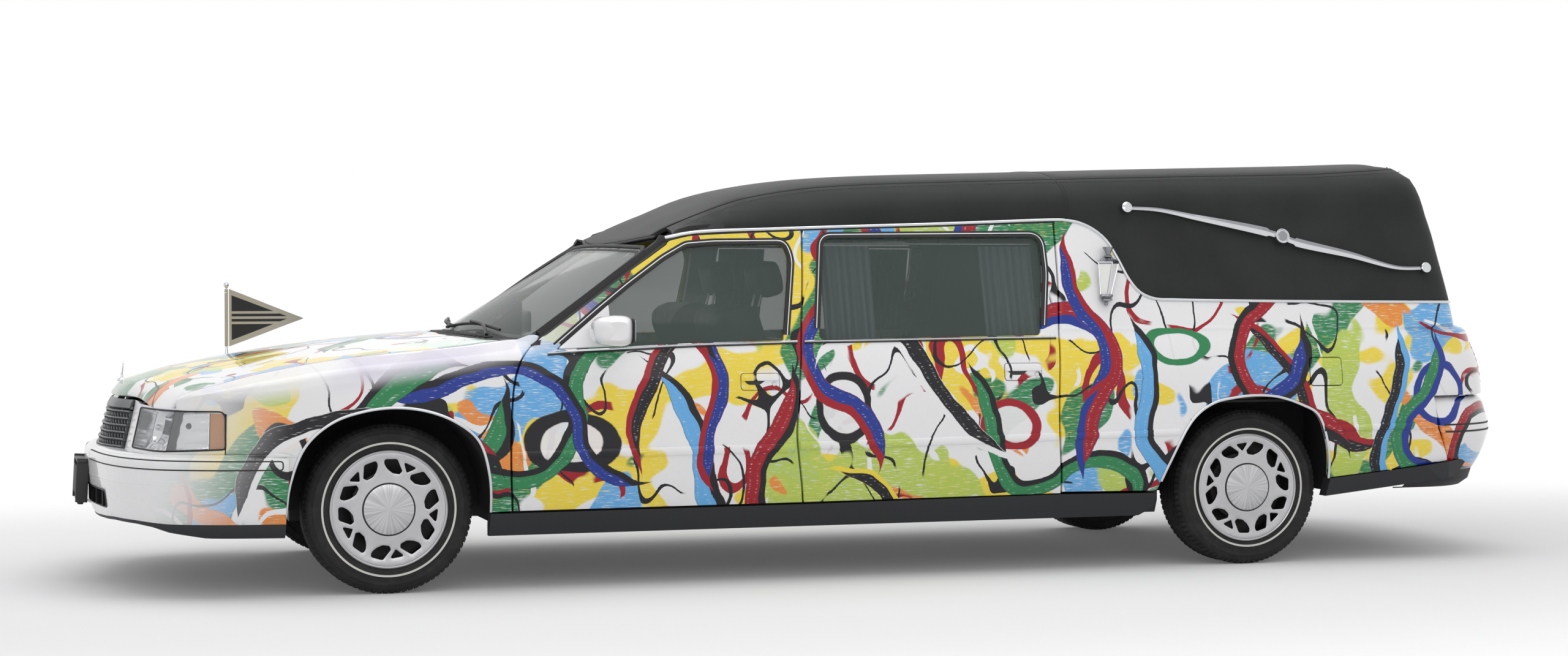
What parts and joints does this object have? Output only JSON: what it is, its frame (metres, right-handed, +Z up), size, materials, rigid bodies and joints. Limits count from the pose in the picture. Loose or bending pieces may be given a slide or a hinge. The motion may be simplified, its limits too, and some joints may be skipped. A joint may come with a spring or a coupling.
{
  "type": "hearse",
  "caption": "Long landau funeral hearse with side-hinged rear door, vinyl roof, landau bars, curtained windows, casket deck and a hood flag.",
  "frame": {"origin": "on the ground at the middle of the overall length and width", "axes": "+X to the front of the car, +Y to the car's left, +Z up"},
  "size_m": [6.14, 2.18, 1.7417],
  "materials": {
    "paint": "gloss white with painted brush strokes",
    "vinyl": "grained black landau vinyl",
    "chrome": "polished",
    "glass": "dark tinted",
    "lamp_clear": "clear lens",
    "lamp_red": "red lens",
    "trim": "dark grey textured",
    "black_plastic": "black",
    "tyre": "black with a thin white line",
    "alloy": "machined",
    "steel": "satin black",
    "iron": "rough",
    "seat": "satin",
    "cloth": "pleated",
    "flag_cloth": "woven",
    "deck": "varnished"
  },
  "bodies": {
    "car": {"underbody": "steel", "front_structure": "steel", "firewall_cowl": "black_plastic", "engine_block": "iron", "fender_left": "paint", "fender_right": "paint", "headlamps": "lamp_clear", "grille": "trim", "front_bumper": "paint", "plate_holder": "black_plastic", "body_side_left": "paint", "body_side_right": "paint", "roof_shell": "vinyl", "windshield": "glass", "rear_bumper": "paint", "tail_lamps": "lamp_red", "dashboard": "trim", "front_seats": "seat", "casket_deck": "deck", "side_curtains": "cloth", "sill_cladding": "trim", "landau_bars": "chrome", "coach_lamps": "chrome", "front_subframe": "steel", "rear_axle": "steel", "fuel_tank": "steel", "exhaust": "steel"},
    "hood_leaf": {"hood": "paint", "hood_ornament": "chrome", "flag_staff": "chrome", "flag": "flag_cloth"},
    "front_door_l": {"door_front_left": "paint", "glass_front_left": "glass", "mirror_left": "paint"},
    "front_door_r": {"door_front_right": "paint", "glass_front_right": "glass", "mirror_right": "paint"},
    "rear_door_l": {"door_rear_left": "paint", "glass_rear_left": "glass"},
    "rear_door_r": {"door_rear_right": "paint", "glass_rear_right": "glass"},
    "tail_door": {"rear_door": "paint", "rear_glass": "glass"},
    "filler_flap": {"fuel_flap": "paint"},
    "steer_l": {"knuckle_left": "iron"},
    "steer_r": {"knuckle_right": "iron"},
    "hand_wheel": {"steering_wheel": "black_plastic"},
    "wheel_fl": {"tyre_front_left": "tyre", "rim_front_left": "alloy"},
    "wheel_fr": {"tyre_front_right": "tyre", "rim_front_right": "alloy"},
    "wheel_rl": {"tyre_rear_left": "tyre", "rim_rear_left": "alloy"},
    "wheel_rr": {"tyre_rear_right": "tyre", "rim_rear_right": "alloy"}
  },
  "joints": [
    {"name": "hood_hinge", "type": "hinge", "parent": "car", "child": "hood_leaf", "pos_m": [1.47, 0, 1.005], "axis": [0, 1, 0], "range_deg": [-48, 0]},
    {"name": "front_door_left_hinge", "type": "hinge", "parent": "car", "child": "front_door_l", "pos_m": [1.463, 0.966, 0.6], "axis": [0, 0, -1], "range_deg": [0, 65]},
    {"name": "front_door_right_hinge", "type": "hinge", "parent": "car", "child": "front_door_r", "pos_m": [1.463, -0.966, 0.6], "axis": [0, 0, 1], "range_deg": [0, 65]},
    {"name": "rear_door_left_hinge", "type": "hinge", "parent": "car", "child": "rear_door_l", "pos_m": [0.301, 0.968, 0.6], "axis": [0, 0, -1], "range_deg": [0, 65]},
    {"name": "rear_door_right_hinge", "type": "hinge", "parent": "car", "child": "rear_door_r", "pos_m": [0.301, -0.968, 0.6], "axis": [0, 0, 1], "range_deg": [0, 65]},
    {"name": "tail_door_hinge", "type": "hinge", "parent": "car", "child": "tail_door", "pos_m": [-2.965, 0.612, 0.95], "axis": [-0.0599, 0, -0.9982], "range_deg": [0, 95]},
    {"name": "filler_flap_hinge", "type": "hinge", "parent": "car", "child": "filler_flap", "pos_m": [-1.989, 0.962, 0.82], "axis": [0, 0, -1], "range_deg": [0, 80]},
    {"name": "steer_left", "type": "hinge", "parent": "car", "child": "steer_l", "pos_m": [1.925, 0.69, 0.328], "axis": [0, 0, 1], "range_deg": [-33, 33]},
    {"name": "steer_right", "type": "hinge", "parent": "car", "child": "steer_r", "pos_m": [1.925, -0.69, 0.328], "axis": [0, 0, 1], "range_deg": [-33, 33]},
    {"name": "hand_wheel_turn", "type": "hinge", "parent": "car", "child": "hand_wheel", "pos_m": [0.995, 0.37, 0.858], "axis": [-0.9135, 0, 0.4067], "range_deg": [-528, 528]},
    {"name": "wheel_front_left_spin", "type": "hinge", "parent": "steer_l", "child": "wheel_fl", "pos_m": [1.925, 0.773, 0.328], "axis": [0, 1, 0], "continuous": true},
    {"name": "wheel_front_right_spin", "type": "hinge", "parent": "steer_r", "child": "wheel_fr", "pos_m": [1.925, -0.773, 0.328], "axis": [0, 1, 0], "continuous": true},
    {"name": "wheel_rear_left_spin", "type": "hinge", "parent": "car", "child": "wheel_rl", "pos_m": [-1.735, 0.773, 0.328], "axis": [0, 1, 0], "continuous": true},
    {"name": "wheel_rear_right_spin", "type": "hinge", "parent": "car", "child": "wheel_rr", "pos_m": [-1.735, -0.773, 0.328], "axis": [0, 1, 0], "continuous": true}
  ],
  "couplings": [
    {"joint": "steer_right", "follows": "steer_left", "ratio": 1},
    {"joint": "hand_wheel_turn", "follows": "steer_left", "ratio": 16}
  ]
}
